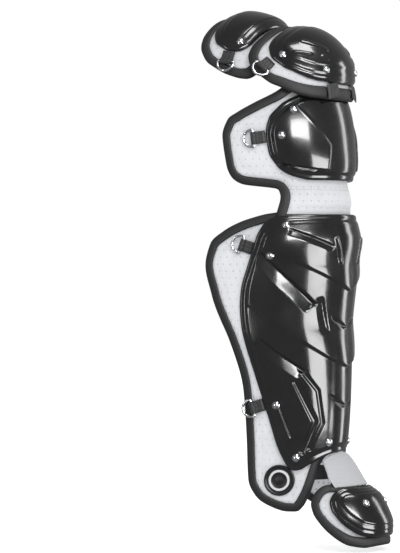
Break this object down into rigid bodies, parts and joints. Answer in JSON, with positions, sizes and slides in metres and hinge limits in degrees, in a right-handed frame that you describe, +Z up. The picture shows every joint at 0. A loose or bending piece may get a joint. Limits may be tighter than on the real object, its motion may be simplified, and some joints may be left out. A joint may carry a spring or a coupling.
{
  "type": "catcher leg guard",
  "caption": "Baseball catcher's leg guard for a right leg: thigh, knee, shin and toe shells riveted over bound, padded wings, with D-rings for straps.",
  "frame": {"origin": "where the shin rests: the middle of the calf liner's inner face, half way up the shin", "axes": "+Z up the leg, -Y to the front, -X to the outer side of a right leg"},
  "size_m": [0.203, 0.2329, 0.6965],
  "materials": {
    "shell": "glossy moulded black",
    "padding": "light grey perforated mesh over foam",
    "binding": "black woven tape",
    "liner": "black brushed knit",
    "insert": "coral perforated soft foam",
    "webbing": "dark grey woven webbing",
    "steel": "bright plated steel",
    "badge": "moulded satin black"
  },
  "bodies": {
    "guard": {"shin_pad": "padding", "shin_binding": "binding", "shin_shell": "shell", "calf_liner": "liner", "knee_pad": "padding", "knee_binding": "binding", "knee_shell": "shell", "knee_top_cushion": "liner", "knee_insert": "insert", "knee_lower_cushion": "liner", "knee_bolster_left": "liner", "knee_bolster_right": "liner", "thigh_lower_pad": "padding", "thigh_lower_binding": "binding", "thigh_lower_shell": "shell", "thigh_upper_pad": "padding", "thigh_upper_binding": "binding", "thigh_upper_shell": "shell", "toe_pad": "padding", "toe_binding": "binding", "toe_shell": "shell", "ankle_tongue": "padding", "knee_strap_left": "webbing", "knee_strap_right": "webbing", "thigh_link": "webbing", "thigh_tab_left": "webbing", "thigh_tab_right": "webbing", "ankle_strap": "webbing", "ankle_badge": "badge", "rivet_shin_top_left": "steel", "rivet_shin_top_right": "steel", "rivet_shin_upper_left": "steel", "rivet_shin_upper_right": "steel", "rivet_shin_lower_left": "steel", "rivet_shin_lower_right": "steel", "rivet_shin_hem_left": "steel", "rivet_shin_hem_right": "steel", "rivet_knee_left": "steel", "rivet_knee_right": "steel", "rivet_thigh_lower_side_left": "steel", "rivet_thigh_lower_side_right": "steel", "rivet_thigh_lower_hem_left": "steel", "rivet_thigh_lower_hem_right": "steel", "rivet_thigh_upper_left": "steel", "rivet_thigh_upper_right": "steel", "rivet_toe_left": "steel", "rivet_toe_right": "steel", "thigh_upper_tab": "webbing", "thigh_lower_tab": "webbing", "knee_tab": "webbing", "shin_upper_tab": "webbing", "ankle_left_tab": "webbing", "ankle_right_tab": "webbing"},
    "thigh_upper_ring": {"thigh_upper_ring": "steel"},
    "thigh_lower_ring": {"thigh_lower_ring": "steel"},
    "knee_ring": {"knee_ring": "steel"},
    "shin_upper_ring": {"shin_upper_ring": "steel"},
    "ankle_left_ring": {"ankle_left_ring": "steel"},
    "ankle_right_ring": {"ankle_right_ring": "steel"}
  },
  "joints": [
    {"name": "thigh_upper_ring_swing", "type": "hinge", "parent": "guard", "child": "thigh_upper_ring", "pos_m": [-0.08607, 0.09651, 0.34748], "axis": [-0.1176, 0.9854, 0.123], "range_deg": [0, 110]},
    {"name": "thigh_lower_ring_swing", "type": "hinge", "parent": "guard", "child": "thigh_lower_ring", "pos_m": [-0.08615, 0.04241, 0.33843], "axis": [-0.0509, 0.742, 0.6685], "range_deg": [0, 110]},
    {"name": "knee_ring_swing", "type": "hinge", "parent": "guard", "child": "knee_ring", "pos_m": [-0.09027, 0.05358, 0.24683], "axis": [-0.034, 0.1166, 0.9926], "range_deg": [0, 110]},
    {"name": "shin_upper_ring_swing", "type": "hinge", "parent": "guard", "child": "shin_upper_ring", "pos_m": [-0.0961, 0.0673, 0.10996], "axis": [0.0815, -0.3178, 0.9447], "range_deg": [0, 110]},
    {"name": "ankle_left_ring_swing", "type": "hinge", "parent": "guard", "child": "ankle_left_ring", "pos_m": [-0.07489, 0.06339, -0.09962], "axis": [-0.0688, 0.2798, 0.9576], "range_deg": [0, 110]},
    {"name": "ankle_right_ring_swing", "type": "hinge", "parent": "guard", "child": "ankle_right_ring", "pos_m": [0.07489, 0.06339, -0.09962], "axis": [-0.0688, -0.2798, -0.9576], "range_deg": [0, 110]}
  ]
}
